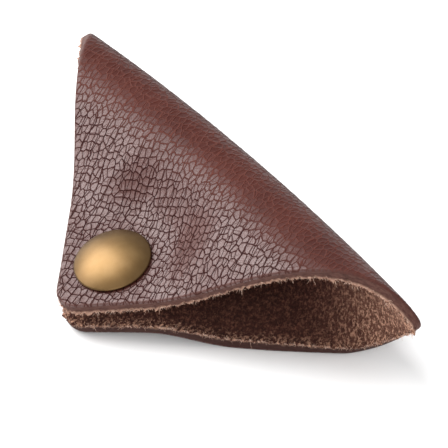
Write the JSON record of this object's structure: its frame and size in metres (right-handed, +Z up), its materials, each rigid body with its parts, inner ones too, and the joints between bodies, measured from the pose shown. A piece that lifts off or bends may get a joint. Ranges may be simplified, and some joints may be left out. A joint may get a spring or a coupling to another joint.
{
  "type": "leather cord keeper",
  "caption": "Square of pebbled leather folded on its diagonal into a tapering loop and closed by a domed press snap, to keep a coiled earphone lead.",
  "frame": {"origin": "centre of the footprint, on the surface that the closed keeper rests on", "axes": "+X from the snap towards the fold, +Y along the fold towards the loop's narrow end, +Z up from the resting surface"},
  "size_m": [0.0472, 0.1088, 0.0232],
  "materials": {
    "leather": "pebbled full grain, satin",
    "antique_brass": "antique, brushed by wear",
    "plain_brass": "stamped",
    "spring_steel": "drawn wire"
  },
  "bodies": {
    "lower_half": {"lower_leather": "leather", "stud": "antique_brass", "back_post": "antique_brass"},
    "upper_flap": {"upper_leather": "leather", "cap_shell": "antique_brass", "cap_post": "plain_brass", "socket": "antique_brass", "spring_ring": "spring_steel"}
  },
  "joints": [
    {"name": "flap_fold", "type": "hinge", "parent": "lower_half", "child": "upper_flap", "pos_m": [0.02343, 0.00001, 0.01171], "axis": [0, 0.9989, -0.0462], "range_deg": [0, 100]}
  ]
}
